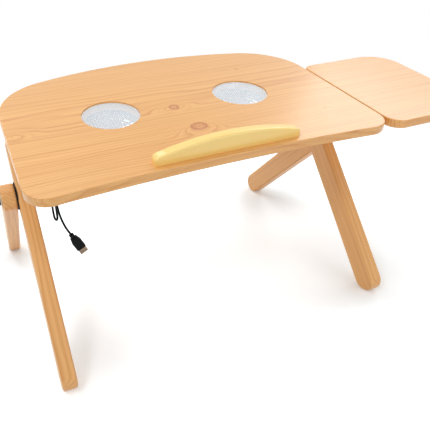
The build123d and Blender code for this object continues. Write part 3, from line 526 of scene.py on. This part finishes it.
woodFacts = {
    "early": (0.83, 0.445, 0.143, 1), "late": (0.64, 0.235, 0.034, 1), "heartwood": (0.50, 0.15, 0.033, 1),
    "legEarly": (0.86, 0.47, 0.177, 1), "legLate": (0.66, 0.28, 0.07, 1),
    "lacquer": {"Coat Weight": 0.5, "Coat Roughness": 0.2, "IOR": 1.46},
    "legLacquer": {"Coat Weight": 0.15, "Coat Roughness": 0.2, "IOR": 1.42},
    "bump": (0.25, 0.00015),        # strength, and distance in metres
    # where the heart of the trunk lies, and how far its rings are apart, in metres
    "top": {"Heart": (0, 0.012, -0.085), "Ring": 0.0052, "Contrast": 0.85, "Seed": 2.0},
    "leaf": {"Heart": (0, 0.16, -0.07), "Ring": 0.0046, "Contrast": 0.9, "Seed": 7.3},
    # on the desk, in metres: a knot's middle, how far it bends the rings, and its own size
    # the swell is by how many rings it bends them
    "knots": [
        {"Middle": (-0.002, -0.093, 0), "Reach": (0.045, 0.02, 1), "Core": (0.0125, 0.0105, 1),
         "Swell": 6.0},
        {"Middle": (-0.013, -0.016, 0), "Reach": (0.03, 0.013, 1), "Core": (0.008, 0.008, 1), "Swell": 3.5},
        {"Middle": (0.17, 0.093, 0), "Reach": (0.03, 0.01, 1), "Core": (0.003, 0.002, 1), "Swell": 1.6},
        {"Middle": (0.23, -0.11, 0), "Reach": (0.03, 0.01, 1), "Core": (0.002, 0.0016, 1), "Swell": 1.3},
        {"Middle": (-0.29, -0.02, 0), "Reach": (0.035, 0.016, 1), "Core": (0.001, 0.001, 1), "Swell": 3.0},
    ],
}

legFacts = {
    # the middle of each leg's foot and head, back and up, and how far out from the middle the leg stands
    "front": {"foot": (-0.20769, -0.33147), "head": (0.022637, -0.047038), "out": 0.288},
    "rear": {"foot": (0.22667, -0.33147), "head": (-0.022674, -0.102992), "out": 0.3138},
    "figure": {"Ring": 0.0042, "Contrast": 0.8},
    "heart": (0.028, -0.03),        # across and up from the leg's middle
    "firstSeed": 11.0, "seedStep": 3.7,
}


def makeWood():
    facts = woodFacts
    colours = {"Early": facts["early"], "Late": facts["late"], "Heartwood": facts["heartwood"]}
    tilt = math.radians(-deskFacts["tilt"])
    top = newFinish("pineTop", facts["lacquer"], pineFigure, {**colours, **facts["top"]}, facts["bump"],
                    {"turn": (tilt, 0, 0)}, facts["knots"])
    leaf = newFinish("pineLeaf", facts["lacquer"], pineFigure, {**colours, **facts["leaf"]}, facts["bump"],
                     {"turn": (tilt, 0, 0)})
    dress(top, "desk_board")
    dress(leaf, "side_leaf")
    seed = legFacts["firstSeed"]
    heartOut, heartUp = legFacts["heart"]
    for which in ("front", "rear"):
        (footY, footZ), (headY, headZ) = legFacts[which]["foot"], legFacts[which]["head"]
        # lean is the slope's angle from foot to head, and rise the height of that line once it is laid level
        lean = math.atan2(headZ - footZ, headY - footY)
        rise = footZ * math.cos(lean) - footY * math.sin(lean)
        for side, way in (("left", -1), ("right", 1)):
            # the leg's length comes to lie along x: first turned level about x, then a quarter turn about z
            seed += legFacts["seedStep"]
            figure = {"Early": facts["legEarly"], "Late": facts["legLate"], "Heartwood": facts["heartwood"],
                      **legFacts["figure"], "Heart": (0, heartOut * way, heartUp), "Seed": seed}
            shift = (0, legFacts[which]["out"] * way, -rise)
            mapping = {"turn": (-lean, 0, -math.pi / 2), "shift": shift}
            material = newFinish("pineLeg_" + side + "_" + which, facts["legLacquer"], pineFigure, figure,
                                 facts["bump"], mapping)
            dress(material, side + "_" + which + "_leg")


makeWood()
print("laptop table: wood")


# woven grilles

grilleFacts = {
    # metres: the disc's radius, the pitch of the pairs and how far a pair's two wires are apart, the wires
    # with their swing and their level, and the rim
    "radius": 0.0496, "pitch": 0.00375, "apart": 0.00150, "wireWide": 0.00094, "wireThick": 0.00040,
    "swing": 0.00019, "level": -0.0030, "rimWide": 0.0011, "rimThick": 0.00074,
    "steps": 112, "sides": 6, "turn": 45.0,     # the wires' rings along and points around, and degrees
    "tuck": 0.6,        # how much of the rim's width the wires stay clear of
    "rimSteps": 96, "rimSides": 12, "rimPower": 0.6,
}


def wovenWires(facts):
    # wires run in pairs, and each one is a flat tube along a chord of the disc, whose length is twice the
    # root of the radius squared less the offset squared
    # its height swings as a cosine that passes over one crossing pair and under the next
    # the second set is the first one turned by a quarter, with the swing turned over
    reach = facts["radius"] - facts["rimWide"] * facts["tuck"]
    count = int((reach - facts["apart"]) / facts["pitch"])
    pair = np.repeat(np.arange(-count, count + 1), 2)
    offset = pair * facts["pitch"] + np.tile([-0.5, 0.5], 2 * count + 1) * facts["apart"]
    half = np.sqrt(reach ** 2 - offset ** 2)
    along = half[:, None] * np.linspace(-1, 1, facts["steps"] + 1)
    swing = facts["swing"] * np.cos(math.pi * (along / facts["pitch"] + pair[:, None]))
    around = np.linspace(0, 2 * math.pi, facts["sides"] + 1)[:-1]
    section = offset[:, None, None] - np.cos(around) * facts["wireWide"] / 2
    across = section + np.zeros_like(along)[:, :, None]
    over = np.sin(around) * facts["wireThick"] / 2
    along = np.broadcast_to(along[:, :, None], across.shape)
    first = np.stack([along, across, over + swing[:, :, None]], -1)
    second = np.stack([-across, along, over - swing[:, :, None]], -1)
    points = np.concatenate([first, second])
    wires, steps, sides = points.shape[:3]
    index = np.arange(wires * steps * sides).reshape(wires, steps, sides)
    ring = np.roll(index, -1, axis=2)
    tubes = np.stack([index[:, :-1], index[:, 1:], ring[:, 1:], ring[:, :-1]], -1).reshape(-1, 4)
    near, far = index[:, 0, :], index[:, -1, ::-1]
    # each end of a wire has six points, which two faces of four close
    halves = ([0, 1, 2, 3], [0, 3, 4, 5])
    ends = np.concatenate([end[:, half] for end in (near, far) for half in halves])
    return points.reshape(-1, 3), np.concatenate([tubes, ends])


def pressedRim(facts):
    # a ring whose section is a rounded square: the power of its sine and cosine is less than one
    steps, sides, power = facts["rimSteps"], facts["rimSides"], facts["rimPower"]
    around = np.linspace(0, 2 * math.pi, steps + 1)[:-1, None]
    turn = np.linspace(0, 2 * math.pi, sides + 1)[:-1]
    wide = np.sign(np.cos(turn)) * np.abs(np.cos(turn)) ** power * facts["rimWide"] / 2
    high = np.sign(np.sin(turn)) * np.abs(np.sin(turn)) ** power * facts["rimThick"] / 2
    out = facts["radius"] - facts["rimWide"] / 2 + wide
    level = np.broadcast_to(high, (steps, sides))
    points = np.stack([np.cos(around) * out, np.sin(around) * out, level], -1)
    index = np.arange(steps * sides).reshape(steps, sides)
    after, ring = np.roll(index, -1, axis=0), np.roll(index, -1, axis=1)
    faces = np.stack([index, after, np.roll(after, -1, axis=1), ring], -1).reshape(-1, 4)
    return points.reshape(-1, 3), faces


def newPiece(name, points, faces, material):
    mesh = bpy.data.meshes.new(name)
    mesh.from_pydata(points.tolist(), [], faces.tolist())
    mesh.polygons.foreach_set("use_smooth", np.full(len(mesh.polygons), True))
    mesh.materials.append(material)
    mesh.update()
    piece = bpy.data.objects.new(name, mesh)
    scene.collection.objects.link(piece)
    return piece


def makeGrilles(facts, material):
    points, faces = wovenWires(facts)
    rim, rimFaces = pressedRim(facts)
    turn = math.radians(facts["turn"])
    # a turn about the disc's middle: across is x cos less y sin, and along is x sin plus y cos
    cos, sin = math.cos(turn), math.sin(turn)
    x, y, z = points.T
    turned = np.stack([x * cos - y * sin, x * sin + y * cos, z], -1)
    flat = np.concatenate([turned, rim])
    allFaces = np.concatenate([faces, rimFaces + len(points)])
    for side, way in (("left", -1), ("right", 1)):
        u = flat[:, 0] + way * deskFacts["fanAcross"]
        v = flat[:, 1] + deskFacts["fanBack"]
        h = flat[:, 2] + facts["level"]
        placed = np.stack(onDesk(u, v, h), -1)
        piece = newPiece("wovenGrille_" + side, placed, allFaces, material)
        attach(piece, "desk")
        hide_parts(side + "_fan_mesh")


# plastic and metal

finishFacts = {
    # the scale is in waves to the metre, and the bump is a strength and a distance in metres
    "grilleWire": {
        "base": (0.76, 0.79, 0.82, 1), "worn": (0.66, 0.69, 0.72, 1), "spread": 0.3,
        "smooth": 0.46, "rough": 0.56, "scale": 900, "bump": (0.2, 0.00003),
        "shader": {"Metallic": 0.8},
    },
    "zincPlate": {
        "base": (0.6, 0.61, 0.62, 1), "worn": (0.46, 0.46, 0.45, 1), "spread": 0.8,
        "smooth": 0.25, "rough": 0.45, "scale": 700, "bump": (0.2, 0.00003),
        "shader": {"Metallic": 1.0},
    },
    "bracketPaint": {
        "base": (0.26, 0.27, 0.28, 1), "worn": (0.34, 0.34, 0.34, 1), "spread": 0.5,
        "smooth": 0.38, "rough": 0.55, "scale": 800, "bump": (0.3, 0.00005),
        "shader": {"Metallic": 0.3},
    },
    "hookPaint": {
        "base": (0.012, 0.012, 0.013, 1), "worn": (0.03, 0.03, 0.03, 1), "spread": 0.5,
        "smooth": 0.3, "rough": 0.5, "scale": 800, "bump": (0.3, 0.00004),
        "shader": {"Specular IOR Level": 0.3},
    },
    "discPlastic": {
        "base": (0.01, 0.01, 0.011, 1), "worn": (0.025, 0.025, 0.026, 1), "spread": 0.5,
        "smooth": 0.36, "rough": 0.56, "scale": 1500, "bump": (0.35, 0.00005),
        "shader": {"Specular IOR Level": 0.3},
    },
    "fanPlastic": {
        "base": (0.022, 0.023, 0.026, 1), "worn": (0.055, 0.056, 0.06, 1), "spread": 0.5,
        "smooth": 0.4, "rough": 0.6, "scale": 1400, "bump": (0.35, 0.00005),
        "shader": {"Metallic": 0.0},
    },
    "sheathRubber": {
        "base": (0.002, 0.002, 0.002, 1), "worn": (0.005, 0.005, 0.005, 1), "spread": 0.5,
        "smooth": 0.2, "rough": 0.34, "scale": 1800, "bump": (0.3, 0.00003),
        "shader": {"Specular IOR Level": 0.06},
    },
    "plugPlastic": {
        "base": (0.002, 0.002, 0.002, 1), "worn": (0.005, 0.005, 0.005, 1), "spread": 0.5,
        "smooth": 0.16, "rough": 0.3, "scale": 1900, "bump": (0.3, 0.00003),
        "shader": {"Specular IOR Level": 0.1},
    },
    "plugPlate": {
        "base": (0.27, 0.19, 0.13, 1), "worn": (0.19, 0.13, 0.09, 1), "spread": 0.6,
        "smooth": 0.22, "rough": 0.4, "scale": 900, "bump": (0.2, 0.00002),
        "shader": {"Metallic": 1.0},
    },
    "plugInsert": {
        "base": (0.78, 0.78, 0.76, 1), "worn": (0.66, 0.65, 0.62, 1), "spread": 0.4,
        "smooth": 0.4, "rough": 0.55, "scale": 1500, "bump": (0.2, 0.00002),
        "shader": {"Metallic": 0.0},
    },
    "stopperGloss": {
        "base": (1.0, 0.72, 0.225, 1), "worn": (0.99, 0.69, 0.205, 1), "spread": 0.5,
        "smooth": 0.42, "rough": 0.5, "scale": 240, "bump": (0.03, 0.00005),
        "shader": {"Specular IOR Level": 0.15, "Coat Weight": 1.0, "Coat Roughness": 0.04},
    },
}


def plainFinish(name):
    facts = finishFacts[name]
    inputs = ("base", "worn", "spread", "smooth", "rough", "scale")
    values = {title.capitalize(): facts[title] for title in inputs}
    return newFinish(name, facts["shader"], fineGrain, values, facts["bump"])


hardwareFacts = {
    # the nodes of each finish, and those that there are at the left and at the right
    "zincPlate": (("stopper_screws", "fan_screws", "bracket_screws", "hook_screw", "tie_screw", "leaf_rods",
                   "leaf_collars"),
                  ("tilt_bolt", "tilt_washer", "brace_bolt", "brace_washer", "fan_axle")),
    "bracketPaint": ((), ("leg_bracket",)),
    "hookPaint": (("cord_hook",), ()),
    "discPlastic": ((), ("bracket_disc", "front_leg_tilt_disc", "front_leg_brace_disc", "rear_leg_disc",
                         "tilt_knob", "brace_knob")),
    "fanPlastic": (("tie_mount", "hank_tie"), ("fan_frame", "fan_rotor", "fan_guard")),
    "sheathRubber": (("cord_gland",), ()),
    "plugPlastic": (("plug_grip",), ()),
    "plugPlate": (("plug_shell",), ()),
    "plugInsert": (("plug_tongue",), ()),
    "stopperGloss": (("stopper",), ()),
}


def dressHardware(facts):
    for finish, (single, paired) in facts.items():
        material = plainFinish(finish)
        dress(material, *single, *(side + name for side in ("left_", "right_") for name in paired))
        if finish == "sheathRubber":
            fanCord.data.materials.append(material)


dressHardware(hardwareFacts)
makeGrilles(grilleFacts, plainFinish("grilleWire"))
print("laptop table: grilles and hardware")


# bring the scene up to date

bpy.context.view_layer.update()
